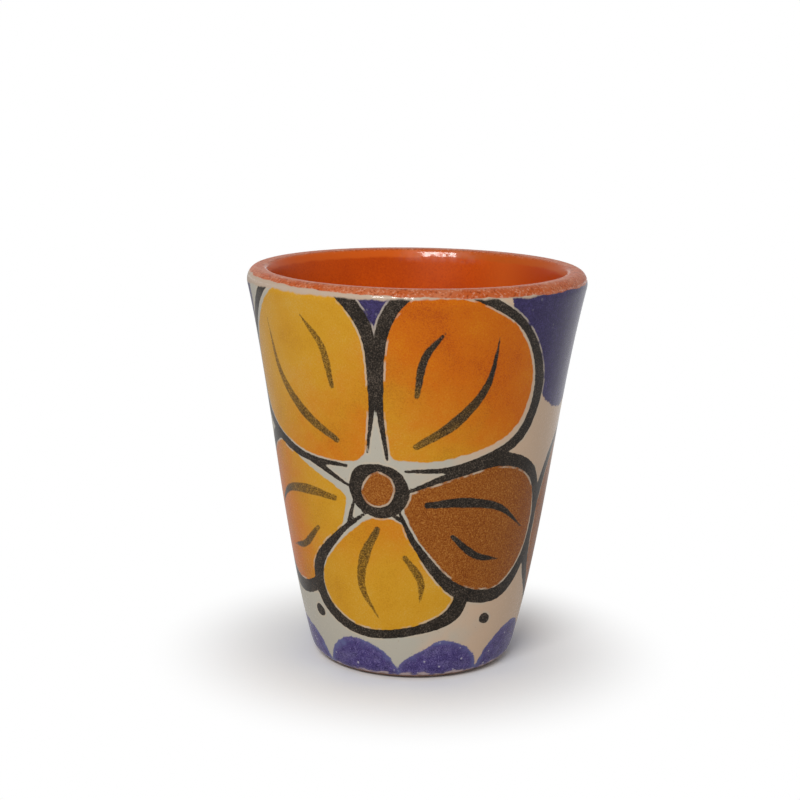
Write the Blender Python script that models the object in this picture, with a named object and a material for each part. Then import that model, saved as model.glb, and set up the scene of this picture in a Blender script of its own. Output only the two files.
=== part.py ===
"""Shot cup of fired earthenware, made the way a potter makes it.

The terracotta body is turned first: a flared wall, a lip rounded outside and crisp inside, a dished floor
and a trimmed foot ring. A white slip coat, the ground for the painting, goes over the outside, and a clear
glaze lines the inside and runs over the lip down to the slip. Units are metres, +Z is up, and the cup
stands on the XY plane.
"""
import math

import bpy

# Sizes of the finished cup
CUP_HEIGHT = 0.0600
RIM_DIAMETER = 0.0510
LIP_THICKNESS = 0.0031
LIP_RISE = 0.0019
LIP_EDGE = 0.0002
BASE_WALL = 0.0038
FLOOR_THICKNESS = 0.0050
INSIDE_CORNER = 0.0060

# How far the wall leans outwards per unit of height, at the foot and just under the lip,
# and how far the lip's top falls inwards per unit of width
FOOT_LEAN = 0.26
RIM_LEAN = 0.22
LIP_FALL = 0.08

# The trimmed foot: the ring that the cup stands on, its rounded edge and the hollow inside it
FOOT_DIAMETER = 0.0256
FOOT_ROUND = 0.0022
FOOT_RING_WIDTH = 0.0033
FOOT_RECESS = 0.0010
RECESS_SLOPE = 0.0012

# The two fired coats, where the slip starts and stops, and the gap between a coat and its neighbour
SLIP_THICKNESS = 0.0004
GLAZE_THICKNESS = 0.0004
SLIP_BELOW_RIM = 0.0010
SLIP_ABOVE_GROUND = 0.0009
FIT_GAP = 0.0003

# Facets round the cup and along each stretch of the profile
ROUND_STEPS = 56
WALL_STEPS = 7
LIP_STEPS = 4
CORNER_STEPS = 5
EDGE_STEPS = 3

# What each coat adds to the clay, its gap included
SLIP_BUILD = SLIP_THICKNESS + FIT_GAP
GLAZE_BUILD = GLAZE_THICKNESS + FIT_GAP


def blend(start, end, share):
    return start + (end - start) * share


def arc(centre, half_width, half_height, first, last, steps):
    """Points of an elliptical arc in the profile plane, from one angle to another."""
    points = []
    for step in range(steps + 1):
        angle = blend(first, last, step / steps)
        radius = centre[0] + half_width * math.cos(angle)
        height = centre[1] + half_height * math.sin(angle)
        points.append((radius, height))
    return points


def leaning_radius(low, high, low_lean, high_lean, height):
    """Radius of a wall that leaves its low end and meets its high end at the given leans."""
    span = high[1] - low[1]
    t = (height - low[1]) / span
    return (low[0] * (1 + 2 * t) * (1 - t) ** 2
            + high[0] * (3 - 2 * t) * t ** 2
            + low_lean * span * t * (1 - t) ** 2
            - high_lean * span * t ** 2 * (1 - t))


def leaning_wall(low, high, low_lean, high_lean, steps):
    """Points of such a wall from its low end to its high end."""
    points = []
    for step in range(steps + 1):
        height = blend(low[1], high[1], step / steps)
        points.append((leaning_radius(low, high, low_lean, high_lean, height), height))
    return points


def join(*stretches):
    """One profile out of stretches that meet end to end, each shared end kept once."""
    profile = []
    for stretch in stretches:
        for point in stretch:
            if not profile or math.dist(profile[-1], point) > FIT_GAP / 10:
                profile.append(point)
    return profile


def raised(profile, distance):
    """The profile moved off the clay, which lies to the right of its direction of travel."""
    moved = []
    for index, (radius, height) in enumerate(profile):
        before = profile[max(index - 1, 0)]
        after = profile[min(index + 1, len(profile) - 1)]
        run = after[0] - before[0]
        rise = after[1] - before[1]
        length = math.hypot(run, rise)
        moved.append((max(radius - distance * rise / length, 0.0), height + distance * run / length))
    return moved


def coat(profile, thickness):
    """Section of a coat over the clay's profile: its open face, then its back, a gap off the clay."""
    return raised(profile, FIT_GAP + thickness) + raised(profile, FIT_GAP)[::-1]


# The lip's outer half is a quarter of an ellipse of clay, which meets the wall where the two lean alike
lip_outer = RIM_DIAMETER / 2 - SLIP_BUILD
lip_inner = RIM_DIAMETER / 2 - LIP_THICKNESS + GLAZE_BUILD
lip_centre = ((lip_outer + lip_inner) / 2, CUP_HEIGHT - LIP_RISE)
lip_half_width = (lip_outer - lip_inner) / 2
lip_half_height = LIP_RISE - GLAZE_BUILD
wall_angle = math.atan(RIM_LEAN * lip_half_height / lip_half_width)
crest_angle = math.pi / 2 + math.atan(LIP_FALL * lip_half_width / lip_half_height)
slip_angle = math.asin(1 - SLIP_BELOW_RIM / LIP_RISE)
edge_angle = FIT_GAP / (LIP_THICKNESS / 2) / 2


def outer_lip(first, last, steps):
    return arc(lip_centre, lip_half_width, lip_half_height, first, last, steps)


lip_crest = outer_lip(crest_angle, slip_angle + edge_angle, LIP_STEPS)
lip_outside = outer_lip(slip_angle - edge_angle, -wall_angle, EDGE_STEPS)

# The lip's top falls from the crest to a crisp inner edge, whose small round turns down into the inside wall
fall_angle = math.pi / 2 + math.atan(LIP_FALL)
inside_angle = math.pi - math.atan(RIM_LEAN)
edge_radius = lip_inner + LIP_EDGE
top_width = lip_crest[0][0] - edge_radius - LIP_EDGE * math.cos(fall_angle)
edge_height = lip_crest[0][1] - LIP_FALL * top_width - LIP_EDGE * math.sin(fall_angle)
lip_edge = arc((edge_radius, edge_height), LIP_EDGE, LIP_EDGE, inside_angle, fall_angle, EDGE_STEPS)
lip_inside = join(lip_edge, lip_crest)

# The foot's rounded edge runs from the wall to the ring, and the slip stops part of the way down it
lean_angle = math.atan(FOOT_LEAN)
foot_centre = (FOOT_DIAMETER / 2, FOOT_ROUND)
stop_angle = -math.asin(1 - SLIP_ABOVE_GROUND / FOOT_ROUND)


def foot_edge(first, last):
    return arc(foot_centre, FOOT_ROUND, FOOT_ROUND, first, last, EDGE_STEPS)


foot_coated = foot_edge(-lean_angle, stop_angle)
foot_bare = foot_edge(stop_angle, -math.pi / 2)

# Outside wall, from the foot's edge up to the lip
wall_low = foot_coated[0]
wall_high = lip_outside[-1]
outer_wall = leaning_wall(wall_low, wall_high, FOOT_LEAN, RIM_LEAN, WALL_STEPS)

# Inside wall, from the rounded corner of the floor up to the lip
corner_round = INSIDE_CORNER + GLAZE_BUILD
floor_height = FLOOR_THICKNESS - GLAZE_BUILD
corner_top = floor_height + corner_round * (1 - math.sin(lean_angle))
corner_outer = leaning_radius(wall_low, wall_high, FOOT_LEAN, RIM_LEAN, corner_top)
corner_radius = corner_outer - (BASE_WALL - SLIP_BUILD - GLAZE_BUILD)
corner_centre = (corner_radius - corner_round * math.cos(lean_angle), floor_height + corner_round)
floor_corner = arc(corner_centre, corner_round, corner_round, -math.pi / 2, -lean_angle, CORNER_STEPS)
inner_wall = leaning_wall(floor_corner[-1], lip_inside[0], FOOT_LEAN, RIM_LEAN, WALL_STEPS)

# Underside: the flat ring, then a sloped step up to the hollow
ring_inner = FOOT_DIAMETER / 2 - FOOT_RING_WIDTH
underside = [(ring_inner, 0.0), (ring_inner - RECESS_SLOPE, FOOT_RECESS), (0.0, FOOT_RECESS)]

inside = join([(0.0, floor_height)], floor_corner, inner_wall, lip_inside)
outside = join(lip_outside, outer_wall[::-1], foot_coated)
bare_foot = join(foot_bare, underside)


def fired_finish(name, colour, roughness, coat_weight):
    material = bpy.data.materials.new(name)
    material.use_nodes = True
    shader = material.node_tree.nodes["Principled BSDF"]
    shader.inputs["Base Color"].default_value = (*colour, 1.0)
    shader.inputs["Roughness"].default_value = roughness
    shader.inputs["Metallic"].default_value = 0.0
    shader.inputs["Coat Weight"].default_value = coat_weight
    return material


def turned_piece(name, profile, closed, material, parent):
    """A piece turned on the Z axis. Its profile runs down on its outer side."""
    count = len(profile)
    edges = [(index, index + 1) for index in range(count - 1)]
    if closed:
        edges.append((count - 1, 0))
    mesh = bpy.data.meshes.new(name)
    mesh.from_pydata([(radius, 0.0, height) for radius, height in profile], edges, [])
    mesh.materials.append(material)
    piece = bpy.data.objects.new(name, mesh)
    bpy.context.scene.collection.objects.link(piece)
    piece.parent = parent
    turn = piece.modifiers.new("turn", "SCREW")
    turn.axis = "Z"
    turn.angle = 2 * math.pi
    turn.steps = ROUND_STEPS
    turn.render_steps = ROUND_STEPS
    turn.use_merge_vertices = True
    turn.merge_threshold = FIT_GAP / 30
    turn.use_smooth_shade = True
    return piece


for leftover in list(bpy.data.objects):
    bpy.data.objects.remove(leftover, do_unlink=True)

cup = bpy.data.objects.new("shot_cup", None)
bpy.context.scene.collection.objects.link(cup)

terracotta = fired_finish("terracotta", (0.46, 0.14, 0.055), 0.75, 0.0)
white_slip = fired_finish("white_slip", (0.56, 0.46, 0.36), 0.35, 0.6)
clear_glaze = fired_finish("glazed_terracotta", (0.45, 0.085, 0.012), 0.25, 0.8)

turned_piece("clay_body", join(inside, outside, bare_foot), False, terracotta, cup)
turned_piece("slip_coat", coat(outside, SLIP_THICKNESS), True, white_slip, cup)
turned_piece("glaze_lining", coat(inside, GLAZE_THICKNESS), False, clear_glaze, cup)
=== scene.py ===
"""Looks of a small painted earthenware shot cup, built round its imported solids."""
import math

import bpy
import numpy as np
from mathutils import Matrix, Vector


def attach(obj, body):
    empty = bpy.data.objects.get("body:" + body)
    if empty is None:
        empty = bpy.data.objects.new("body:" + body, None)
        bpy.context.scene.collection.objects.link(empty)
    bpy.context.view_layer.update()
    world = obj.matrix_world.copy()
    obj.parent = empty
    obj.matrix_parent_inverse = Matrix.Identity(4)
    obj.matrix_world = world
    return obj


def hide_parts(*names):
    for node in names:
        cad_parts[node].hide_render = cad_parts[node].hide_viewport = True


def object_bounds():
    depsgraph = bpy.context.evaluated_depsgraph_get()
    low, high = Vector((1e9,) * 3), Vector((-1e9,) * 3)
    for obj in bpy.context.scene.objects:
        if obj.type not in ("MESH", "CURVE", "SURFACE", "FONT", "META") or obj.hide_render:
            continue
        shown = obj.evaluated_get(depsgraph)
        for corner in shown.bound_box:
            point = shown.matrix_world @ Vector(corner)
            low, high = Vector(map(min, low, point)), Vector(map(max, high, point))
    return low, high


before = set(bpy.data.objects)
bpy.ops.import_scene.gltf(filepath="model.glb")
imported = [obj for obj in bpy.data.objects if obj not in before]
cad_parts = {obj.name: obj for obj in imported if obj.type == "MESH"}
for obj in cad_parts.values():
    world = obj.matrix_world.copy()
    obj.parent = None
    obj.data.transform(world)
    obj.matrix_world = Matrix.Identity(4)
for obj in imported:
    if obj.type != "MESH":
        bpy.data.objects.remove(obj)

cad_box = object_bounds()

# Camera. It looks at the cup from just in front of it and a little above the rim.
# Its distance, height, lens and tilt are fitted to the cup's outline in the photograph.
AIM = Vector((0.0, 0.0, 0.030))
AIM_PIXEL = (415.2, 460.4)
FRAME_PIXELS = 800.0
FOCAL_PIXELS = 1784.8
SENSOR_WIDTH = 36.0
CAMERA_DISTANCE = 0.2743
CAMERA_ELEVATION = math.radians(13.62)
CAMERA_ROLL = math.radians(0.86)

to_cup = Vector((0.0, math.cos(CAMERA_ELEVATION), -math.sin(CAMERA_ELEVATION)))
sideways = Vector((1.0, 0.0, 0.0))
aim_aside = (AIM_PIXEL[0] - FRAME_PIXELS / 2) / FOCAL_PIXELS
aim_below = (AIM_PIXEL[1] - FRAME_PIXELS / 2) / FOCAL_PIXELS
look = (to_cup - sideways * aim_aside + sideways.cross(to_cup) * aim_below).normalized()
right = look.cross(Vector((0.0, 0.0, 1.0))).normalized()
upward = right.cross(look)
tilted_right = right * math.cos(CAMERA_ROLL) + upward * math.sin(CAMERA_ROLL)
tilted_up = upward * math.cos(CAMERA_ROLL) - right * math.sin(CAMERA_ROLL)

camera = bpy.data.objects.new("camera", bpy.data.cameras.new("camera"))
camera.data.sensor_width = SENSOR_WIDTH
camera.data.lens = FOCAL_PIXELS * SENSOR_WIDTH / FRAME_PIXELS
turned_to_look = Matrix((tilted_right, tilted_up, -look)).transposed().to_4x4()
camera.matrix_world = Matrix.Translation(AIM - to_cup * CAMERA_DISTANCE) @ turned_to_look
bpy.context.scene.collection.objects.link(camera)
bpy.context.scene.camera = camera

# Clay body. Red earthenware turned on a wheel: a flared wall, a lip that is rounded outside and crisp
# inside, and a foot trimmed to a ring. It stays bare only under the foot, where it stood in the kiln.
CUP_HEIGHT = cad_box[1].z
RIM_RADIUS = cad_box[1].x
COAT_BUILD = 0.00025
LIP_THICKNESS = 0.0031
LIP_RISE = 0.0019
LIP_EDGE = 0.0003
LIP_FALL = 0.08
LIP_FLARE = 0.0015
LIP_FLARE_LEAN = 0.40
BASE_WALL = 0.0038
FLOOR_THICKNESS = 0.0050
INSIDE_CORNER = 0.0060
FOOT_LEAN = 0.26
RIM_LEAN = 0.22
FOOT_RADIUS = 0.0128
FOOT_ROUND = 0.00265
FOOT_RING_WIDTH = 0.0033
FOOT_RECESS = 0.0010
RECESS_SLOPE = 0.0012
SLIP_BELOW_RIM = 0.0010
SLIP_ABOVE_GROUND = 0.0007
SAME_POINT = 1e-6
SEAM_GAP = 1e-7
WALL_STEPS = 150
LIP_STEPS = 26
EDGE_STEPS = 9
HIDDEN_STEP = 6
BODY_ROUND_STEPS = 192

BARE_CLAY = (0.40, 0.20, 0.13, 1.0)
RED_CLAY = (0.42, 0.115, 0.042, 1.0)
PALE_CLAY = (0.52, 0.34, 0.25, 1.0)
EDGE_CLAY = (0.21, 0.108, 0.072, 1.0)
GRIT_SIZE = 0.0004
PATCH_SIZE = 0.006
TRIM_RING = 0.0011
CLAY_RELIEF = 0.00005
DARKER_FOOT_EDGE = (FOOT_RADIUS - 0.0003, FOOT_RADIUS + 0.0002)


def arc(centre, half_width, half_height, first, last, steps):
    """Points of an elliptical arc in the profile plane, from one angle to another."""
    points = []
    for angle in np.linspace(first, last, steps + 1):
        radius = centre[0] + half_width * math.cos(angle)
        points.append((radius, centre[1] + half_height * math.sin(angle)))
    return points


def leaning_radius(low, high, height):
    """Radius of a wall that leaves the foot and meets the lip at their own leans."""
    span = high[1] - low[1]
    share = (height - low[1]) / span
    return (low[0] * (1 + 2 * share) * (1 - share) ** 2
            + high[0] * (3 - 2 * share) * share ** 2
            + FOOT_LEAN * span * share * (1 - share) ** 2
            - RIM_LEAN * span * share ** 2 * (1 - share))


def leaning_wall(low, high, steps):
    """Points of such a wall from its low end to its high end."""
    heights = np.linspace(low[1], high[1], steps + 1)
    return [(leaning_radius(low, high, height), height) for height in heights]


def join(*stretches):
    """One profile out of stretches that meet end to end, each shared end kept once."""
    profile = []
    for stretch in stretches:
        for point in stretch:
            if not profile or math.dist(profile[-1], point) > SAME_POINT:
                profile.append(point)
    return profile


def raised(profile, distances):
    """The profile moved off the clay, which lies to the right of its direction of travel."""
    moved = []
    for index, (radius, height) in enumerate(profile):
        before = profile[max(index - 1, 0)]
        after = profile[min(index + 1, len(profile) - 1)]
        run = after[0] - before[0]
        rise = after[1] - before[1]
        share = distances[index] / math.hypot(run, rise)
        moved.append((max(radius - share * rise, 0.0), height + share * run))
    return moved


lip_outer = RIM_RADIUS - COAT_BUILD
lip_inner = RIM_RADIUS - LIP_THICKNESS + COAT_BUILD
lip_centre = ((lip_outer + lip_inner) / 2, CUP_HEIGHT - LIP_RISE)
lip_half = ((lip_outer - lip_inner) / 2, LIP_RISE - COAT_BUILD)
wall_angle = math.atan(RIM_LEAN * lip_half[1] / lip_half[0])
crest_angle = math.pi / 2 + math.atan(LIP_FALL * lip_half[0] / lip_half[1])
slip_angle = math.asin(1 - SLIP_BELOW_RIM / LIP_RISE)
lip_crest = arc(lip_centre, *lip_half, crest_angle, slip_angle, LIP_STEPS)

fall_angle = math.pi / 2 + math.atan(LIP_FALL)
inside_angle = math.pi - math.atan(LIP_FLARE_LEAN)
edge_radius = lip_inner + LIP_EDGE
top_width = lip_crest[0][0] - edge_radius - LIP_EDGE * math.cos(fall_angle)
edge_height = lip_crest[0][1] - LIP_FALL * top_width - LIP_EDGE * math.sin(fall_angle)
lip_edge = arc((edge_radius, edge_height), LIP_EDGE, LIP_EDGE, inside_angle, fall_angle, EDGE_STEPS)
lip_top = [(lip_crest[0][0] - top_width * share, lip_crest[0][1] - LIP_FALL * top_width * share)
           for share in np.linspace(1.0, 0.0, EDGE_STEPS)]
lip_inside = join(lip_edge, lip_top, lip_crest)

lip_flare = []
for drop in np.linspace(LIP_FLARE, 0.0, EDGE_STEPS + 1):
    flare_lean = LIP_FLARE_LEAN - (LIP_FLARE_LEAN - RIM_LEAN) * drop / LIP_FLARE / 2
    lip_flare.append((lip_edge[0][0] - drop * flare_lean, lip_edge[0][1] - drop))

lean_angle = math.atan(FOOT_LEAN)
stop_angle = -math.asin(1 - SLIP_ABOVE_GROUND / FOOT_ROUND)
foot_centre = (FOOT_RADIUS, FOOT_ROUND)
lip_outside = arc(lip_centre, *lip_half, slip_angle, -wall_angle, EDGE_STEPS)
foot_coated = arc(foot_centre, FOOT_ROUND, FOOT_ROUND, -lean_angle, stop_angle, EDGE_STEPS)
foot_bare = arc(foot_centre, FOOT_ROUND, FOOT_ROUND, stop_angle, -math.pi / 2, EDGE_STEPS)
outer_wall = leaning_wall(foot_coated[0], lip_outside[-1], WALL_STEPS)

corner_round = INSIDE_CORNER + COAT_BUILD
floor_height = FLOOR_THICKNESS - COAT_BUILD
corner_top = floor_height + corner_round * (1 - math.sin(lean_angle))
corner_wall = BASE_WALL - 2 * COAT_BUILD
corner_radius = leaning_radius(foot_coated[0], lip_outside[-1], corner_top) - corner_wall
corner_centre = (corner_radius - corner_round * math.cos(lean_angle), floor_height + corner_round)
floor_corner = arc(corner_centre, corner_round, corner_round, -math.pi / 2, -lean_angle, LIP_STEPS)
floor = [(corner_centre[0] * share, floor_height) for share in np.linspace(0.0, 1.0, EDGE_STEPS)]
inner_wall = leaning_wall(floor_corner[-1], lip_flare[0], WALL_STEPS // 2)

ring_inner = FOOT_RADIUS - FOOT_RING_WIDTH
underside = [(ring_inner, 0.0), (ring_inner - RECESS_SLOPE, FOOT_RECESS), (0.0, FOOT_RECESS)]

inside = join(floor, floor_corner, inner_wall, lip_flare, lip_inside)
outside = join(lip_outside, outer_wall[::-1], foot_coated)
clay_profile = join(inside[::HIDDEN_STEP], outside[::HIDDEN_STEP], outside[-1:], foot_bare, underside)


class Wire:
    """A node's output that takes part in arithmetic. Its node method adds any other node."""

    def __init__(self, tree, socket=None):
        self.tree = tree
        self.socket = socket

    def node(self, kind, settings=None, inputs=None, output=0):
        """A new node's output, after its settings are set and its sockets get values or links."""
        made = self.tree.nodes.new(kind)
        for name, value in (settings or {}).items():
            setattr(made, name, value)
        for key, value in (inputs or {}).items():
            if isinstance(value, Wire):
                self.tree.links.new(value.socket, made.inputs[key])
            else:
                made.inputs[key].default_value = value
        return Wire(self.tree, made.outputs[output])

    def out(self, name):
        """Another output of the same node."""
        return Wire(self.tree, self.socket.node.outputs[name])

    def math(self, operation, first, second=0.0):
        return self.node("ShaderNodeMath", {"operation": operation}, {0: first, 1: second})

    def __add__(self, other):
        return self.math("ADD", self, other)

    def __radd__(self, other):
        return self.math("ADD", other, self)

    def __sub__(self, other):
        return self.math("SUBTRACT", self, other)

    def __rsub__(self, other):
        return self.math("SUBTRACT", other, self)

    def __mul__(self, other):
        return self.math("MULTIPLY", self, other)

    def __rmul__(self, other):
        return self.math("MULTIPLY", other, self)

    def __truediv__(self, other):
        return self.math("DIVIDE", self, other)

    def __rtruediv__(self, other):
        return self.math("DIVIDE", other, self)

    def step(self, low, high):
        """0 on low's side, 1 on high's side, and a smooth change between them."""
        inputs = {"Value": self, "From Min": low, "From Max": high}
        return self.node("ShaderNodeMapRange", {"interpolation_type": "SMOOTHSTEP"}, inputs)

    def mix(self, low, high):
        """The colour low where this value is 0, and the colour high where it is 1."""
        return self.node("ShaderNodeMix", {"data_type": "RGBA"}, {0: self, 6: low, 7: high}, 2)


def wheel():
    """A tree that turns a profile of points round the Z axis, with a hand's small unevenness."""
    tree = bpy.data.node_groups.new("turn_on_wheel", "GeometryNodeTree")
    sockets = (("Profile", "Geometry"), ("Round Steps", "Int"), ("Unevenness", "Float"),
               ("Lumps per Metre", "Float"), ("Seed", "Float"), ("Crisp Fold", "Float"),
               ("Finish", "Material"))
    for name, kind in sockets:
        tree.interface.new_socket(name, in_out="INPUT", socket_type="NodeSocket" + kind)
    tree.interface.new_socket("Piece", in_out="OUTPUT", socket_type="NodeSocketGeometry")
    start = Wire(tree)
    given = start.node("NodeGroupInput", output="Profile")
    spot = start.node("GeometryNodeInputPosition")

    # A flat sheet, one row of points for each point of the profile, is rolled up and closed
    stations = start.node("GeometryNodeAttributeDomainSize", {}, {"Geometry": given}, "Point Count")
    sheet_size = {"Size X": 1.0, "Size Y": 1.0,
                  "Vertices X": given.out("Round Steps") + 1, "Vertices Y": stations}
    sheet = start.node("GeometryNodeMeshGrid", {}, sheet_size, "Mesh")
    sheet_x = start.node("ShaderNodeSeparateXYZ", {}, {0: spot}, "X")
    turn = sheet_x * (2 * math.pi)
    station = start.math("ROUND", (sheet_x.out("Y") + 0.5) * (stations - 1))
    sampled = {"Geometry": given, "Value": spot, "Index": station}
    section = start.node("GeometryNodeSampleIndex", {"data_type": "FLOAT_VECTOR"}, sampled)
    radius = start.node("ShaderNodeSeparateXYZ", {}, {0: section}, "X")
    around = {0: radius * start.math("SINE", turn),
              1: radius * start.math("COSINE", turn) * -1.0,
              2: radius.out("Z")}
    place = start.node("ShaderNodeCombineXYZ", {}, around)
    rolled = start.node("GeometryNodeSetPosition", {}, {"Geometry": sheet, "Position": place})
    closed = start.node("GeometryNodeMergeByDistance", {}, {"Geometry": rolled, "Distance": SEAM_GAP})

    # Broad lumps push the wall in and out
    lump_inputs = {"Vector": spot, "Scale": given.out("Lumps per Metre"),
                   "W": given.out("Seed"), "Detail": 1.0}
    lump = start.node("ShaderNodeTexNoise", {"noise_dimensions": "4D"}, lump_inputs, "Fac") - 0.5
    level = {0: spot, 1: (1.0, 1.0, 0.0)}
    outward = start.node("ShaderNodeVectorMath", {"operation": "MULTIPLY"}, level)
    outward = start.node("ShaderNodeVectorMath", {"operation": "NORMALIZE"}, {0: outward})
    push_inputs = {0: outward, "Scale": lump * given.out("Unevenness")}
    push = start.node("ShaderNodeVectorMath", {"operation": "SCALE"}, push_inputs)
    uneven = start.node("GeometryNodeSetPosition", {}, {"Geometry": closed, "Offset": push})

    # All is shaded smooth but the sharp folds
    smooth = start.node("GeometryNodeSetShadeSmooth", {}, {"Geometry": uneven})
    fold = start.node("GeometryNodeInputMeshEdgeAngle", output="Unsigned Angle")
    crisp = {"Geometry": smooth, "Shade Smooth": False,
             "Selection": start.math("GREATER_THAN", fold, given.out("Crisp Fold"))}
    edged = start.node("GeometryNodeSetShadeSmooth", {"domain": "EDGE"}, crisp)
    real = start.node("GeometryNodeRealizeInstances", {}, {"Geometry": edged})
    finish = {"Geometry": real, "Material": given.out("Finish")}
    finished = start.node("GeometryNodeSetMaterial", {}, finish)
    piece = tree.nodes.new("NodeGroupOutput")
    tree.links.new(finished.socket, piece.inputs["Piece"])
    return tree


WHEEL_UNEVENNESS = 0.0004
WHEEL_LUMPS = 34.0
WHEEL_SEED = 3.0
CRISP_FOLD = math.radians(40.0)
wheel_tree = wheel()


def turned(name, profile, round_steps, finish):
    """A piece turned from its profile, as a plain mesh."""
    edges = [(index, index + 1) for index in range(len(profile) - 1)]
    line = bpy.data.meshes.new(name + "_profile")
    line.from_pydata([(radius, 0.0, height) for radius, height in profile], edges, [])
    piece = bpy.data.objects.new(name, line)
    bpy.context.scene.collection.objects.link(piece)
    modifier = piece.modifiers.new("wheel", "NODES")
    modifier.node_group = wheel_tree
    settings = {"Round Steps": round_steps, "Unevenness": WHEEL_UNEVENNESS,
                "Lumps per Metre": WHEEL_LUMPS, "Seed": WHEEL_SEED,
                "Crisp Fold": CRISP_FOLD, "Finish": finish}
    for item in wheel_tree.interface.items_tree:
        if item.name in settings:
            modifier[item.identifier] = settings[item.name]
    depsgraph = bpy.context.evaluated_depsgraph_get()
    mesh = bpy.data.meshes.new_from_object(piece.evaluated_get(depsgraph))
    piece.modifiers.remove(modifier)
    piece.data = mesh
    bpy.data.meshes.remove(line)
    mesh.name = name
    return piece


def fired_material(name, sockets):
    """A Principled material with its constant sockets set, its shader, and a wire to start its nodes."""
    material = bpy.data.materials.new(name)
    material.use_nodes = True
    shader = material.node_tree.nodes["Principled BSDF"]
    for socket, value in sockets.items():
        shader.inputs[socket].default_value = value
    return material, shader, Wire(material.node_tree)


def object_place(start):
    return start.node("ShaderNodeTexCoord", output="Object")


def noise(start, place, size, detail=2.0):
    """Smooth noise between 0 and 1, with lumps of about the given size in metres."""
    inputs = {"Vector": place, "Scale": 1.0 / size, "Detail": detail}
    return start.node("ShaderNodeTexNoise", {}, inputs, "Fac")


def bump(start, height, distance):
    return start.node("ShaderNodeBump", {}, {"Height": height, "Strength": 1.0, "Distance": distance})


def feed(shader, **wires):
    """Links wires to the shader's sockets of the same names."""
    for name, wire in wires.items():
        wire.tree.links.new(wire.socket, shader.inputs[name.replace("_", " ").title()])


def bare_clay():
    """Gritty red clay with paler patches, ringed by the trimming tool and dark at the foot's edge."""
    material, shader, start = fired_material("bare_clay", {"Specular IOR Level": 0.25})
    place = object_place(start)
    grit = noise(start, place, GRIT_SIZE)
    patch = noise(start, place, PATCH_SIZE, 3.0)
    from_centre = start.node("ShaderNodeVectorMath", {"operation": "LENGTH"}, {0: place}, "Value")
    trim_rings = start.math("SINE", from_centre * (2 * math.pi / TRIM_RING) + patch * 3.0)
    # Darker along the foot's outer edge at the bottom
    darker_edge = from_centre.step(*DARKER_FOOT_EDGE)
    colour = darker_edge.mix(patch.step(0.35, 0.7).mix(RED_CLAY, BARE_CLAY), EDGE_CLAY)
    feed(shader,
         base_color=grit.step(0.58, 0.72).mix(colour, PALE_CLAY),
         roughness=0.68 + grit * 0.2,
         normal=bump(start, grit * 0.6 + trim_rings * 0.25, CLAY_RELIEF))
    return material


clay_body = turned("clay_body_turned", clay_profile, BODY_ROUND_STEPS, bare_clay())
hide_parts("clay_body")
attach(clay_body, "root")

# Glaze lining. Clear glaze poured inside and tipped out, so it covers the floor, the wall and the lip.
# The red clay shows through it, paler and pitted on the lip, where the glaze ran thin.
COAT_BACK = 0.00003
SLIP_FOOT_TAPER = 0.0022
SLIP_FOOT_EDGE = 0.18
LINING_ROUND_STEPS = 256

INSIDE_CLAY = (0.62, 0.083, 0.001, 1.0)
INSIDE_DEEP = (0.53, 0.065, 0.001, 1.0)
INSIDE_DARK = (0.48, 0.052, 0.001, 1.0)
INSIDE_LIGHT = (0.66, 0.103, 0.001, 1.0)
INSIDE_PALE = (0.60, 0.105, 0.010, 1.0)
EDGE_GLOW = (0.71, 0.122, 0.008, 1.0)
EDGE_SHADE = (0.54, 0.100, 0.008, 1.0)
LIP_CLAY = (0.47, 0.088, 0.016, 1.0)
LIP_WORN = (0.51, 0.150, 0.060, 1.0)
LIP_PIT = (0.20, 0.030, 0.006, 1.0)
LIP_FLECK = (0.60, 0.300, 0.200, 1.0)
SLIP_THIN = (0.47, 0.355, 0.265, 1.0)
INSIDE_BLOTCH = 0.007
LIP_BLOTCH = 0.0025
PIT_SIZE = 0.00036
FLECK_SIZE = 0.0003
EDGE_WANDER = 0.003
EDGE_MOTTLE = 0.0016
SLIP_WANDER = 0.0024
RIPPLE_SIZE = 0.0035
SKIN_SIZE = 0.0010
GLAZE_RELIEF = 0.00002

# Places on the lip and inside it, in millimetres. A pair says where a change starts and where it ends.
TOP_MM = CUP_HEIGHT * 1000
RIM_MM = RIM_RADIUS * 1000
CREST_MM = lip_centre[0] * 1000
SLIP_EDGE_MM = (lip_centre[1] + LIP_RISE * math.sin(slip_angle)) * 1000
SLIP_EDGE_SOFT = 0.06
SLIP_WANDER_MM = 0.7
SLIP_TILT_MM = 0.45
LIP_STARTS = (CREST_MM - 1.58, CREST_MM - 1.20)
OUTER_SIDE = (CREST_MM, CREST_MM + 0.8)
PALE_SIDE = (8.0, 15.0)
# Where painted shade darkens the inside's right end
PAINTED_SHADE_SIDE = (13.0, 20.0)
BAND_RISE = (TOP_MM - 1.55, TOP_MM - 1.10)
BAND_WANDER_MM = 0.7
BAND_SHADED = (-5.0, 13.0)
BAND_SCATTER_MM = 30.0
POOL_ASIDE = 3.5
POOL_WIDTH = (8.0, 4.0)
POOL_BACK = (6.0, 14.0)
POOL_RISE = (TOP_MM - 2.4, TOP_MM - 1.5)
SHINE_INSET = (CREST_MM - 0.8, CREST_MM - 1.3)
SHINE_RISE = (TOP_MM - 0.9, TOP_MM - 0.6)
SHINE_FRONT = (4.0, -6.0)


def along_mm(start, place, axis):
    """How far a place is along one axis, in millimetres."""
    return start.node("ShaderNodeSeparateXYZ", {}, {0: place}, axis) * 1000


def from_axis_mm(start, place):
    level = {0: place, 1: (1000.0, 1000.0, 0.0)}
    flat = start.node("ShaderNodeVectorMath", {"operation": "MULTIPLY"}, level)
    return start.node("ShaderNodeVectorMath", {"operation": "LENGTH"}, {0: flat}, "Value")


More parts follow.
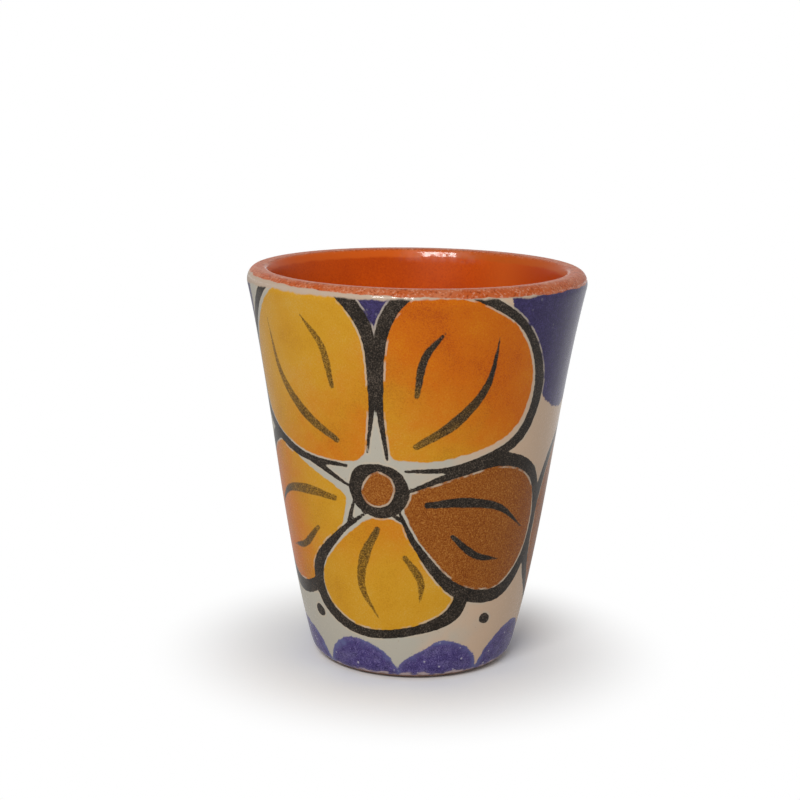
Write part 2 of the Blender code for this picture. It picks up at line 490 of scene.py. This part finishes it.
def lip_glaze(start, place):
    """Colour of the clay under the thin glaze on the lip, blotched, with dark pits and pale flecks."""
    pits = noise(start, place, PIT_SIZE, 3.0)
    colour = noise(start, place, LIP_BLOTCH).step(0.35, 0.75).mix(LIP_CLAY, LIP_WORN)
    colour = (pits.step(0.55, 0.68) * 0.8).mix(colour, LIP_PIT)
    return (pits.step(0.45, 0.33) * 0.65).mix(colour, LIP_FLECK)


def slip_edge(start, place):
    """1 on the slip and 0 on the lip, with the ragged line that the brush left, higher at the left."""
    wander = noise(start, place, SLIP_WANDER, 3.0) - 0.5
    to_right = along_mm(start, place, "X") / RIM_MM
    level = along_mm(start, place, "Z") + wander * SLIP_WANDER_MM + to_right * SLIP_TILT_MM
    return level.step(SLIP_EDGE_MM + SLIP_EDGE_SOFT, SLIP_EDGE_MM - SLIP_EDGE_SOFT)


def glazed_clay():
    """Red clay under clear glaze, lighter just below the lip, and pitted on it. The glaze shines where
    it pooled below the lip at the back, and along the lip's inner edge at the front."""
    sockets = {"Specular IOR Level": 0.10, "Coat Roughness": 0.06}
    material, shader, start = fired_material("glazed_clay", sockets)
    place = object_place(start)
    height = along_mm(start, place, "Z")
    across = along_mm(start, place, "X")
    back = along_mm(start, place, "Y")
    from_axis = from_axis_mm(start, place)
    on_lip = from_axis.step(*LIP_STARTS)
    outer_side = from_axis.step(*OUTER_SIDE)

    fleck = noise(start, place, FLECK_SIZE)
    deep = noise(start, place, INSIDE_BLOTCH, 3.0).step(0.3, 0.75).mix(INSIDE_CLAY, INSIDE_DEEP)
    deep = (fleck.step(0.50, 0.68) * 0.5).mix(deep, INSIDE_DARK)
    deep = (fleck.step(0.46, 0.30) * 0.5).mix(deep, INSIDE_LIGHT)
    # Paler a little right of the middle, then painted shade darkens the inside towards its right end
    deep = (across.step(*PALE_SIDE) * 0.8).mix(deep, INSIDE_PALE)
    deep = (across.step(*PAINTED_SHADE_SIDE) * 0.9).mix(deep, INSIDE_DARK)
    mottle = (noise(start, place, EDGE_MOTTLE, 3.0) - 0.5) * BAND_SCATTER_MM
    edge = (across + mottle).step(*BAND_SHADED).mix(EDGE_GLOW, EDGE_SHADE)
    wander = (noise(start, place, EDGE_WANDER) - 0.5) * BAND_WANDER_MM
    colour = (height + wander).step(*BAND_RISE).mix(deep, edge)
    colour = on_lip.mix(colour, lip_glaze(start, place))

    skin = noise(start, place, SKIN_SIZE).step(0.38, 0.56)
    pool = start.math("ABSOLUTE", across - POOL_ASIDE).step(*POOL_WIDTH) * back.step(*POOL_BACK)
    pool = pool * height.step(*POOL_RISE) * (1.0 - on_lip) * (0.08 + skin * 0.67)
    front_edge = from_axis.step(*SHINE_INSET) * height.step(*SHINE_RISE) * back.step(*SHINE_FRONT)

    ripple = noise(start, place, RIPPLE_SIZE) * 0.75 + fleck * 0.12
    pitting = noise(start, place, PIT_SIZE, 3.0) * on_lip * 0.8
    feed(shader,
         base_color=(slip_edge(start, place) * outer_side).mix(colour, SLIP_THIN),
         roughness=0.30 + on_lip * 0.10,
         coat_weight=pool + front_edge * 0.6,
         normal=bump(start, ripple + pitting, GLAZE_RELIEF))
    return material


def coat_depth(point):
    """Thickness of glaze or slip over a point of the clay. The slip thins out round the foot's edge."""
    share = min(max((point[1] - SLIP_ABOVE_GROUND) / SLIP_FOOT_TAPER, 0.0), 1.0)
    return COAT_BUILD * (SLIP_FOOT_EDGE + (1 - SLIP_FOOT_EDGE) * share ** 0.5)


coated = join(inside, outside)
open_face = raised(coated, [coat_depth(point) for point in coated])
lining_open = open_face[:len(inside)]
lining_back = raised(inside, [COAT_BACK] * len(inside))[::-HIDDEN_STEP]
lining_profile = lining_open + lining_back + [(0.0, floor_height + COAT_BACK)]
glaze_lining = turned("glaze_lining_poured", lining_profile, LINING_ROUND_STEPS, glazed_clay())
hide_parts("glaze_lining")
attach(glaze_lining, "root")

# Slip coat. Cream liquid clay brushed over the outside, painted with a loose brush and glazed clear.
# The painting is a plain folk design of blossoms, leaves and scallops, with broad dark outlines.
SLIP_ROUND_STEPS = 420
SLIP_GREY = (0.436, 0.404, 0.334, 1.0)
SLIP_TAN_PAINTED_LIGHTER = (0.552, 0.398, 0.278, 1.0)
SLIP_SPECK = (0.27, 0.20, 0.14, 1.0)
SLIP_DRIP = (0.52, 0.40, 0.36, 1.0)
BARE_FOOT = (0.27, 0.17, 0.13, 1.0)
YELLOW = (0.56, 0.275, 0.014, 1.0)
YELLOW_DARK = (0.48, 0.215, 0.008, 1.0)
YELLOW_LIGHT = (0.57, 0.325, 0.050, 1.0)
ORANGE = (0.53, 0.120, 0.001, 1.0)
ORANGE_DARK = (0.40, 0.066, 0.001, 1.0)
ORANGE_LIGHT = (0.57, 0.170, 0.003, 1.0)
BROWN = (0.262, 0.075, 0.007, 1.0)
BROWN_DARK = (0.170, 0.036, 0.002, 1.0)
BROWN_LIGHT = (0.400, 0.158, 0.030, 1.0)
VIOLET = (0.064, 0.046, 0.165, 1.0)
VIOLET_DEEP = (0.036, 0.027, 0.084, 1.0)
VIOLET_DARK = (0.020, 0.013, 0.062, 1.0)
VIOLET_LIGHT = (0.150, 0.120, 0.285, 1.0)
VIOLET_HAZE = (0.118, 0.100, 0.225, 1.0)
VIOLET_WASH = (0.105, 0.110, 0.245, 1.0)
PINHOLE = (0.42, 0.40, 0.46, 1.0)
BLACK = (0.023, 0.017, 0.012, 1.0)
BLACK_DARK = (0.006, 0.005, 0.004, 1.0)
BLACK_LIGHT = (0.096, 0.074, 0.056, 1.0)
VEIN = (0.205, 0.102, 0.008, 1.0)
VEIN_DARK = (0.070, 0.030, 0.003, 1.0)
VEIN_LIGHT = (0.440, 0.225, 0.022, 1.0)
PALE_LINE = (0.50, 0.42, 0.32, 1.0)
GRAIN_SIZE = 0.00030
GRANULE_SIZE = 0.00019
MOTTLE_SIZE = 0.0008
CLOUD_SIZE = 0.0060
WASH_SIZE = 0.0022
BRUSH_EDGE_SIZE = 0.0012
LINE_EDGE_SIZE = 0.0007
BUBBLE_SPACING = 0.0011
DRIP_SIZE = 0.0018
PAINT_TOP_WANDER = 0.0016
PAINT_TOP_SWEEP = 0.012
BEAD_SIZE = 0.0008
SLIP_RIPPLE = 0.004
SLIP_RELIEF = 0.00006

# Places of the finish: shares of the rim's radius for the tan side with its painted light, and
# millimetres for the rest
TAN_AND_LIGHTER_SIDE = (-0.05, 0.45)
BRUSH_EDGE_MM = 0.6
LINE_EDGE_MM = 0.25
GRANULE_EDGE_MM = 0.5
PAINT_EDGE = (-0.10, 0.10)
BLACK_EDGE = (-0.06, 0.06)
PALE_EDGE = (-0.34, -0.22)
VIOLET_DEEPENS = (20.0, 50.0)
VIOLET_LOADED = (-0.3, 0.9)
PINHOLE_INSET = (0.2, 0.5)
PINHOLE_RISE = (16.0, 9.0)
FOOT_WANDER_MM = 1.8
DRIP_START = (0.55, 0.75)
DRIP_END = (1.35, 1.05)
SLIP_STOP = (0.85, 0.55)
PAINT_TOP = (TOP_MM - 1.60, TOP_MM - 1.25)
PAINT_TOP_TILT_MM = 0.4
PAINT_TOP_WANDER_MM = 0.9
PAINT_TOP_SWEEP_MM = 1.4
BEAD_RISE = (TOP_MM - 1.30, TOP_MM - 1.15)

slip_open = open_face[len(inside) - 1:]
slip_back = raised(outside, [COAT_BACK] * len(outside))
slip_profile = slip_open + slip_back[:0:-HIDDEN_STEP] + slip_back[:1] + slip_open[:1]

# Shapes of the strokes: along and across a petal or leaf, whose length and width are 1,
# and the brush's half width in millimetres from a stroke's start to its end
PETAL = ((0.15, -0.05), (0.34, -0.27), (0.62, -0.46), (0.87, -0.42), (1.00, -0.15),
         (0.99, 0.17), (0.85, 0.43), (0.58, 0.47), (0.32, 0.28), (0.15, 0.07))
PETAL_PRESSURE = (0.25, 0.60, 1.00, 1.10, 0.80, 0.75, 1.10, 1.00, 0.55, 0.20)
LONG_VEIN = ((0.90, 0.05), (0.68, 0.14), (0.46, 0.11), (0.27, 0.02))
LONG_PRESSURE = (0.08, 0.55, 0.80, 0.45)
SHORT_VEIN = ((0.78, -0.20), (0.62, -0.21), (0.46, -0.13))
SHORT_PRESSURE = (0.08, 0.50, 0.60, 0.35)
LEAF = ((0.0, -0.02), (0.22, -0.38), (0.50, -0.50), (0.78, -0.36), (1.0, 0.02),
        (0.78, 0.38), (0.50, 0.50), (0.22, 0.40))
LEAF_PRESSURE = (0.35, 0.95, 1.15, 0.85, 0.30)
LEAF_RIB = ((0.12, 0.0), (0.36, 0.08), (0.60, 0.06), (0.84, 0.0))
RIB_PRESSURE = (0.45, 0.60, 0.45, 0.10)
EYE_RADIUS = 3.5
EYE_SWEEP = 6.3
EYE_POINTS = 9
EYE_PRESSURE = (0.5, 0.8, 1.1, 0.9, 0.7, 0.9, 1.1, 0.5)

# Places of the strokes: turns in degrees from the front, and heights and sizes in millimetres.
# A lobe's points are shares of its half width and its drop, which LOBES gives after its turn.
# A petal has its paint, lean, length, width, and how far it blushes at its base and at its tip.
HUMP = ((-6.1, -6.0), (-5.9, 2.2), (-3.2, 6.0), (0.5, 6.9), (3.9, 5.6), (5.9, 1.8), (6.1, -6.0))
HUMP_COUNT = 8
HUMP_TURN = 16.0
HUMP_HEIGHT = 0.6
HUMP_TALLNESS = (0.80, 1.05)
DOT_TURNS = (38.0, -52.0, 218.0)
DOT_HEIGHT = 9.6
DOT_SIZES = (0.8, 1.0)
LOBE = ((-0.92, -0.35), (-0.35, -0.92), (0.30, -1.0), (0.85, -0.45))
LOBE_HEIGHT = 58.6
LOBE_RISE = 4.0
LOBES = ((69.0, 15.0, 17.0), (-14.0, 6.5, 9.0), (-104.0, 12.0, 16.0), (166.0, 6.5, 9.0))
LEAVES = ((80.0, 4.0), (-104.0, -4.0))
LEAF_HEIGHT = 9.5
LEAF_SIZE = (29.0, 15.0)
BLOSSOM_HEIGHT = 30.5
FRONT_TURN = -14.0
FRONT_PETALS = (("warm", 250.0, 27.0, 25.0, 0.15, 0.75),
                ("warm", 178.0, 22.5, 25.0, 0.50, 0.00),
                ("brown", 110.0, 27.0, 23.0, 0.00, 0.00),
                ("warm", -38.0, 34.5, 30.0, 0.55, 0.00),
                ("warm", 36.0, 32.5, 28.0, 0.40, 1.00))
BACK_TURN = 166.0
BACK_PETALS = (("warm", 112.0, 27.0, 24.0, 0.60, 0.00),
               ("brown", 182.0, 22.5, 25.0, 0.00, 0.00),
               ("warm", 248.0, 27.0, 24.0, 0.30, 1.00),
               ("warm", 36.0, 33.5, 29.0, 0.50, 0.00),
               ("warm", -37.0, 32.5, 28.0, 0.40, 1.00))
FAR = 9.0
REACH = 40.0
SPAN_STEPS = 7
NO_LENGTH = 1e-9

# How the hand strays, in millimetres, how much of a shape its colour fills, and how petals blush
HAND_SEED = 11
DOT_STRAY = 0.2
HUMP_STRAY = 0.4
LOBE_STRAY = 0.5
EYE_STRAY = 0.25
PETAL_STRAY = 0.45
PETAL_SHIFT = 0.7
LEAF_STRAY = 0.2
LEAF_SHIFT = 0.3
FILL_SHARE = 0.93
BLUSH_MARGIN = 0.8
BLUSH_SLOPE = 1.7
BLUSH_DELAY = 0.45
PRESS_CHANGE = (0.85, 1.1)
hand = np.random.default_rng(HAND_SEED)


def smooth_line(points, closed):
    """A smooth line through a few chosen points."""
    points = np.array(points, float)
    if closed:
        padded = np.vstack([points[-1], points, points[:2]])
    else:
        padded = np.vstack([2 * points[0] - points[1], points, 2 * points[-1] - points[-2]])
    share = np.linspace(0.0, 1.0, SPAN_STEPS, endpoint=False)[:, None]
    spans = []
    for before, first, last, after in zip(padded, padded[1:], padded[2:], padded[3:]):
        slope = (last - before) / 2
        bend = before - 2.5 * first + 2 * last - after / 2
        swing = 1.5 * (first - last) + (after - before) / 2
        spans.append(first + share * slope + share ** 2 * bend + share ** 3 * swing)
    end = points[:1] if closed else points[-1:]
    return np.vstack(spans + [end])


def turned_points(points, lean, length, width):
    """Points given along and across a petal or leaf, as points across and up the wall."""
    sine = math.sin(math.radians(lean))
    cosine = math.cos(math.radians(lean))
    turned_ones = []
    for along, beside in points:
        forward = along * length
        aside = beside * width
        turned_ones.append((forward * sine + aside * cosine, forward * cosine - aside * sine))
    return turned_ones


def wandering(points, amount):
    """The same points as an unhurried hand would place them."""
    return [tuple(np.array(point) + hand.uniform(-amount, amount, 2)) for point in points]


def drawn_in(points, share, shift):
    """A shape's points drawn in towards its middle and shifted, as colour laid off its outline."""
    middle = np.mean(points, axis=0)
    return [tuple(middle + (np.array(point) - middle) * share + shift) for point in points]


def nearest(across, up, first, last):
    """For each place, its share of the way along a segment, and its distance from the segment."""
    run, rise = last - first
    length = max(run ** 2 + rise ** 2, NO_LENGTH)
    share = np.clip(((across - first[0]) * run + (up - first[1]) * rise) / length, 0.0, 1.0)
    return share, np.hypot(across - first[0] - share * run, up - first[1] - share * rise)


class Painting:
    """How deep each point of the wall lies inside each paint, in millimetres. Outside is negative."""

    def __init__(self, mesh):
        places = np.empty(len(mesh.vertices) * 3)
        mesh.vertices.foreach_get("co", places)
        rightward, backward, self.height = places.reshape(-1, 3).T * 1000
        self.radius = np.hypot(rightward, backward)
        self.turn = np.arctan2(rightward, -backward)
        paints = ("violet", "brown", "warm", "vein", "black")
        self.depths = {paint: np.full(len(self.height), -FAR) for paint in paints}
        self.blush = np.zeros(len(self.height))

    def near(self, turn, height):
        """Points of the wall within reach, and how far across and up from a turn and height."""
        apart = (self.turn - math.radians(turn) + math.pi) % (2 * math.pi) - math.pi
        across = self.radius * apart
        up = self.height - height
        reached = np.flatnonzero((np.abs(across) < REACH) & (np.abs(up) < REACH))
        return reached, across[reached], up[reached]

    def wipe(self, turn, height, points):
        """Clears a closed shape back to bare slip. Gives the points reached and how deep inside."""
        reached, across, up = self.near(turn, height)
        line = smooth_line(points, True)
        distance = np.full(len(reached), np.inf)
        within = np.zeros(len(reached), bool)
        for first, last in zip(line, line[1:]):
            distance = np.minimum(distance, nearest(across, up, first, last)[1])
            if first[1] != last[1]:
                slope = (last[0] - first[0]) / (last[1] - first[1])
                crossed = (first[1] > up) != (last[1] > up)
                within ^= crossed & (across < first[0] + (up - first[1]) * slope)
        depth = np.where(within, distance, -distance)
        for other in self.depths.values():
            other[reached] = np.minimum(other[reached], -depth)
        return reached, depth

    def fill(self, paint, turn, height, points):
        """Covers a closed shape with one paint, over whatever was there. Gives the depth inside it."""
        reached, depth = self.wipe(turn, height, points)
        self.depths[paint][reached] = np.maximum(self.depths[paint][reached], depth)
        return depth

    def brush(self, paint, turn, height, points, pressure):
        """One stroke. Its half width follows the brush's pressure along it."""
        reached, across, up = self.near(turn, height)
        line = smooth_line(points, False)
        halves = np.interp(np.linspace(0, 1, len(line)), np.linspace(0, 1, len(pressure)), pressure)
        depth = np.full(len(reached), -FAR)
        for first, last, half, next_half in zip(line, line[1:], halves, halves[1:]):
            share, distance = nearest(across, up, first, last)
            depth = np.maximum(depth, half + share * (next_half - half) - distance)
        self.depths[paint][reached] = np.maximum(self.depths[paint][reached], depth)

    def dot(self, turn, height, size):
        """One touch of a loaded brush."""
        touch = wandering([(0.0, 0.0), (0.35 * size, -0.3 * size)], DOT_STRAY)
        self.brush("black", turn, height, touch, (size, 0.9 * size))

    def petal(self, turn, height, paint, lean, length, width, base_blush, tip_blush):
        """A petal in one paint, with a swelling outline and two veins. A warm one blushes along it."""
        shape = wandering(turned_points(PETAL, lean, length, width), PETAL_STRAY)
        self.wipe(turn, height, shape)
        shift = hand.uniform(-PETAL_SHIFT, PETAL_SHIFT, 2)
        depth = self.fill(paint, turn, height, drawn_in(shape, FILL_SHARE, shift))
        reached, across, up = self.near(turn, height)
        along = (across * math.sin(math.radians(lean)) + up * math.cos(math.radians(lean))) / length
        to_tip = np.clip(BLUSH_SLOPE * along - BLUSH_DELAY, 0.0, 1.0)
        blush = base_blush + (tip_blush - base_blush) * to_tip
        self.blush[reached] = np.where(depth > -BLUSH_MARGIN, blush, self.blush[reached])
        pressure = np.array(PETAL_PRESSURE) * hand.uniform(*PRESS_CHANGE, len(PETAL_PRESSURE))
        self.brush("black", turn, height, shape, pressure)
        side = hand.choice([-1.0, 1.0])
        for vein, vein_pressure in ((LONG_VEIN, LONG_PRESSURE), (SHORT_VEIN, SHORT_PRESSURE)):
            vein = [(share, beside * side) for share, beside in vein]
            self.brush("vein", turn, height, turned_points(vein, lean, length, width), vein_pressure)

    def blossom(self, turn, height, petals):
        """Broad petals, each over the one before, about a brown eye."""
        for petal in petals:
            self.petal(turn, height, *petal)
        eye = [(EYE_RADIUS * math.sin(angle), EYE_RADIUS * math.cos(angle))
               for angle in np.linspace(0.0, EYE_SWEEP, EYE_POINTS)]
        self.fill("brown", turn, height, wandering(eye[:-1], EYE_STRAY))
        self.brush("black", turn, height, eye, EYE_PRESSURE)

    def leaf(self, paint, turn, height, lean, length, width):
        """A filled leaf with a rib and a stroke down each side."""
        shape = wandering(turned_points(LEAF, lean, length, width), LEAF_STRAY)
        self.wipe(turn, height, shape)
        shift = hand.uniform(-LEAF_SHIFT, LEAF_SHIFT, 2)
        self.fill(paint, turn, height, drawn_in(shape, FILL_SHARE, shift))
        self.brush("black", turn, height, shape[:5], LEAF_PRESSURE)
        self.brush("black", turn, height, shape[4:] + shape[:1], LEAF_PRESSURE)
        self.brush("vein", turn, height, turned_points(LEAF_RIB, lean, length, width), RIB_PRESSURE)


def speckled(granules, body, dark, light):
    """A paint's colour with the darker and lighter granules of its pigment."""
    return granules.step(0.50, 0.68).mix(granules.step(0.50, 0.32).mix(body, dark), light)


class SlipFinish:
    """The outside's colours. Each method lays a paint or a mark over the colour so far."""

    def __init__(self, start):
        self.start = start
        self.place = object_place(start)
        self.height = along_mm(start, self.place, "Z")
        self.to_right = along_mm(start, self.place, "X") / RIM_MM
        self.grain = self.noise(GRAIN_SIZE)
        self.granules = self.noise(GRANULE_SIZE)
        self.cloud = self.noise(CLOUD_SIZE, 3.0)
        self.wash = self.noise(WASH_SIZE)
        self.brush_edge = (self.noise(BRUSH_EDGE_SIZE, 3.0) - 0.5) * BRUSH_EDGE_MM
        self.line_edge = (self.noise(LINE_EDGE_SIZE) - 0.5) * LINE_EDGE_MM
        self.on_brown = (self.painted("brown") + self.brush_edge).step(*PAINT_EDGE)
        self.blush = (self.painted("blush") + (self.wash - 0.5) * 0.25
                      + (self.cloud - 0.5) * 0.5).step(0.15, 0.85)
        self.black_depth = self.painted("black") + self.line_edge
        self.on_black = self.black_depth.step(*BLACK_EDGE)
        self.black = speckled(self.granules * 0.8 + self.wash * 0.2, BLACK, BLACK_DARK, BLACK_LIGHT)

    def noise(self, size, detail=2.0):
        return noise(self.start, self.place, size, detail)

    def painted(self, layer):
        """The depth inside a painted layer, in millimetres, or how far a warm paint blushes."""
        return self.start.node("ShaderNodeAttribute", {"attribute_name": "paint_" + layer}, {}, "Fac")

    def ground(self):
        """Bare slip with a few specks, grey at the left and tan at the right, where the tan is also
        painted lighter.
        """
        # Painted light: the tan at the right is made lighter against the shade that falls on that side
        tan_and_lighter = (self.to_right + (self.cloud - 0.5) * 0.8).step(*TAN_AND_LIGHTER_SIDE)
        specks = self.grain.step(0.66, 0.78) * 0.6
        return specks.mix(tan_and_lighter.mix(SLIP_GREY, SLIP_TAN_PAINTED_LIGHTER), SLIP_SPECK)

    def violet(self, colour):
        """Mottled violet, thinned to a bluer wash at its edges. It is deeper and evener near the rim."""
        depth = self.painted("violet") + self.brush_edge + (self.granules - 0.5) * GRANULE_EDGE_MM
        deepness = self.height.step(*VIOLET_DEEPENS)
        body = deepness.mix(VIOLET, VIOLET_DEEP)
        haze = self.wash.step(0.46, 0.68) * (0.7 - deepness * 0.6)
        body = haze.mix(body, VIOLET_HAZE)
        mottle = self.granules * 0.75 + self.noise(MOTTLE_SIZE) * 0.25
        body = speckled(mottle, body, VIOLET_DARK, deepness.mix(VIOLET_LIGHT, VIOLET))
        load = depth + (self.wash - 0.5) * 4.0 + (self.granules - 0.5) * 2.5 + deepness * 3.0
        paint = load.step(*VIOLET_LOADED).mix(VIOLET_WASH, body)
        colour = depth.step(*PAINT_EDGE).mix(colour, paint)
        return self.pinholes(colour, depth)

    def pinholes(self, colour, depth):
        """Pale pinholes that burst in the violet, mostly near the foot."""
        scattered = {"Vector": self.place, "Scale": 1.0 / BUBBLE_SPACING}
        bubbles = self.start.node("ShaderNodeTexVoronoi", {}, scattered, "Distance")
        chance = self.start.node("ShaderNodeSeparateColor", {}, {0: bubbles.out("Color")}, 0)
        ragged = bubbles + (self.granules - 0.5) * 0.30 - (chance - 0.7) * 0.25
        holes = ragged.step(0.17, 0.09) * (chance + self.wash * 1.2).step(1.14, 1.20)
        holes = holes * depth.step(*PINHOLE_INSET) * (0.15 + self.height.step(*PINHOLE_RISE) * 0.75)
        return holes.mix(colour, PINHOLE)

    def brown(self, colour):
        grains = self.granules * 0.9 + self.cloud * 0.1
        return self.on_brown.mix(colour, speckled(grains, BROWN, BROWN_DARK, BROWN_LIGHT))

    def warm(self, colour):
        """Yellow that turns to orange where it blushes."""
        grains = self.granules * 0.5 + self.cloud * 0.5
        yellow = speckled(grains, YELLOW, YELLOW_DARK, YELLOW_LIGHT)
        orange = speckled(grains, ORANGE, ORANGE_DARK, ORANGE_LIGHT)
        depth = self.painted("warm") + self.brush_edge
        return depth.step(*PAINT_EDGE).mix(colour, self.blush.mix(yellow, orange))

    def veins(self, colour):
        """Fine strokes inside petals and leaves: thin brown on yellow, black on darker paint."""
        thin = speckled(self.granules, VEIN, VEIN_DARK, VEIN_LIGHT)
        stroke = self.start.math("MAXIMUM", self.blush, self.on_brown).mix(thin, self.black)
        depth = self.painted("vein") + self.line_edge
        return depth.step(*PAINT_EDGE).mix(colour, stroke)

    def outlines(self, colour):
        """Broad black strokes. Along parts of them the slip shows as a pale line."""
        bare = (self.cloud + self.wash).step(0.88, 1.08)
        pale = self.black_depth.step(*PALE_EDGE) * bare * 0.70
        return self.on_black.mix(pale.mix(colour, PALE_LINE), self.black)

    def foot(self, colour):
        """The uneven line where the slip stops, with pale drips."""
        line = self.height + (self.noise(DRIP_SIZE, 3.0) - 0.5) * FOOT_WANDER_MM
        drips = line.step(*DRIP_START) * line.step(*DRIP_END) * self.wash.step(0.46, 0.60)
        colour = (drips * 0.8).mix(colour, SLIP_DRIP)
        return line.step(*SLIP_STOP).mix(colour, BARE_FOOT)

    def rim(self, colour):
        """The strip of bare slip above the paints, up to the ragged edge of the lip's glaze."""
        top = self.height - self.to_right * PAINT_TOP_TILT_MM
        top = top + (self.noise(PAINT_TOP_WANDER, 3.0) - 0.5) * PAINT_TOP_WANDER_MM
        top = top + (self.noise(PAINT_TOP_SWEEP) - 0.5) * PAINT_TOP_SWEEP_MM
        colour = top.step(*PAINT_TOP).mix(colour, SLIP_THIN)
        return slip_edge(self.start, self.place).mix(lip_glaze(self.start, self.place), colour)


def painted_slip():
    """Slip and paints under clear glaze, which beads along the slip's top edge."""
    sockets = {"Specular IOR Level": 0.12, "Coat Roughness": 0.06}
    material, shader, start = fired_material("painted_slip", sockets)
    finish = SlipFinish(start)
    colour = finish.ground()
    for lay in (finish.violet, finish.brown, finish.warm, finish.veins, finish.outlines,
                finish.foot, finish.rim):
        colour = lay(colour)
    bead = finish.height.step(*BEAD_RISE) * finish.noise(BEAD_SIZE).step(0.46, 0.58)
    relief = finish.on_black * 0.35 + finish.noise(SLIP_RIPPLE) + finish.grain * 0.12
    feed(shader,
         base_color=colour,
         roughness=0.20 + finish.grain * 0.12,
         coat_weight=bead * 0.8,
         normal=bump(start, relief, SLIP_RELIEF))
    return material


slip_coat = turned("slip_coat_painted", slip_profile, SLIP_ROUND_STEPS, painted_slip())
painting = Painting(slip_coat.data)
for index in range(HUMP_COUNT):
    tall = hand.uniform(*HUMP_TALLNESS)
    hump = [(across, up * tall) for across, up in HUMP]
    turn = 360.0 / HUMP_COUNT * index + HUMP_TURN
    painting.fill("violet", turn, HUMP_HEIGHT, wandering(hump, HUMP_STRAY))
for turn in DOT_TURNS:
    painting.dot(turn, DOT_HEIGHT, hand.uniform(*DOT_SIZES))
for turn, wide, down in LOBES:
    lobe = [(across * wide, up * down) for across, up in LOBE]
    lobe = [(-wide, LOBE_RISE)] + lobe + [(wide, LOBE_RISE)]
    painting.fill("violet", turn, LOBE_HEIGHT, wandering(lobe, LOBE_STRAY))
for turn, lean in LEAVES:
    painting.leaf("brown", turn, LEAF_HEIGHT, lean, *LEAF_SIZE)
painting.blossom(FRONT_TURN, BLOSSOM_HEIGHT, FRONT_PETALS)
painting.blossom(BACK_TURN, BLOSSOM_HEIGHT, BACK_PETALS)

for layer, values in list(painting.depths.items()) + [("blush", painting.blush)]:
    attribute = slip_coat.data.attributes.new("paint_" + layer, "FLOAT", "POINT")
    attribute.data.foreach_set("value", values)
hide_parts("slip_coat")
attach(slip_coat, "root")

# Table and light. A plain white table runs into a white surround, lit from all round
# and by a soft window high at the front left.
TABLE_SIZE = 3.0
TABLE_NEAR = 0.016
TABLE_FAR = 0.042
MIRROR_NEAR = 0.07
MIRROR_FAR = 0.17
MIRROR_SIDE = (-50.0, 50.0)
TABLE_WHITE = (0.93, 0.93, 0.93, 1.0)
WHITE = (1.0, 1.0, 1.0, 1.0)
AMBIENT = 0.42
WINDOW_POWER = 1.6
WINDOW_SIZE = (0.25, 0.10)
WINDOW_AZIMUTH = math.radians(-17.0)
WINDOW_ELEVATION = math.radians(36.0)
WINDOW_DISTANCE = 0.55

table_half = TABLE_SIZE / 2
table_mesh = bpy.data.meshes.new("table")
table_corners = [(-table_half, -table_half, 0.0), (table_half, -table_half, 0.0),
                 (table_half, table_half, 0.0), (-table_half, table_half, 0.0)]
table_mesh.from_pydata(table_corners, [], [(0, 1, 2, 3)])
table = bpy.data.objects.new("table", table_mesh)
bpy.context.scene.collection.objects.link(table)


def table_white():
    """Matt white that takes the cup's shadow near it and glows as the surround does further off.
    The cup mirrors that glow only from further away and from its right, where its sheen is."""
    material = bpy.data.materials.new("table_white")
    material.use_nodes = True
    nodes = material.node_tree.nodes
    nodes.remove(nodes["Principled BSDF"])
    start = Wire(material.node_tree)
    place = object_place(start)
    away = start.node("ShaderNodeVectorMath", {"operation": "LENGTH"}, {0: place}, "Value")
    path = start.node("ShaderNodeLightPath", output="Is Camera Ray")
    share = path * away.step(TABLE_NEAR, TABLE_FAR)
    mirrored = away.step(MIRROR_NEAR, MIRROR_FAR) * along_mm(start, place, "X").step(*MIRROR_SIDE)
    share = share + path.out("Is Glossy Ray") * mirrored
    matt = start.node("ShaderNodeBsdfDiffuse", {}, {"Color": TABLE_WHITE})
    glow = start.node("ShaderNodeEmission", {}, {"Color": WHITE, "Strength": 1.0})
    top = start.node("ShaderNodeMixShader", {}, {0: share, 1: matt, 2: glow})
    start.tree.links.new(top.socket, nodes["Material Output"].inputs["Surface"])
    return material


table_mesh.materials.append(table_white())

world = bpy.data.worlds.new("white_room")
world.use_nodes = True
bpy.context.scene.world = world
world_start = Wire(world.node_tree)
path = world_start.node("ShaderNodeLightPath", output="Is Camera Ray")
seen = path + path.out("Is Glossy Ray") + path.out("Is Transmission Ray")
strength = AMBIENT + world_start.math("MINIMUM", seen, 1.0) * (1.0 - AMBIENT)
surround = world.node_tree.nodes["Background"]
surround.inputs["Color"].default_value = WHITE
world.node_tree.links.new(strength.socket, surround.inputs["Strength"])

# The window faces the cup. Azimuth 0 is behind the camera, and 90 is to its right.
lamp = bpy.data.lights.new("window", "AREA")
lamp.shape = "RECTANGLE"
lamp.size = WINDOW_SIZE[0]
lamp.size_y = WINDOW_SIZE[1]
lamp.energy = WINDOW_POWER
window_level = math.cos(WINDOW_ELEVATION)
to_window = Vector((math.sin(WINDOW_AZIMUTH) * window_level,
                    -math.cos(WINDOW_AZIMUTH) * window_level,
                    math.sin(WINDOW_ELEVATION)))
window = bpy.data.objects.new("window", lamp)
window.location = AIM + to_window * WINDOW_DISTANCE
window.rotation_euler = to_window.to_track_quat("Z", "Y").to_euler()
bpy.context.scene.collection.objects.link(window)
bpy.context.scene.view_settings.view_transform = "Standard"
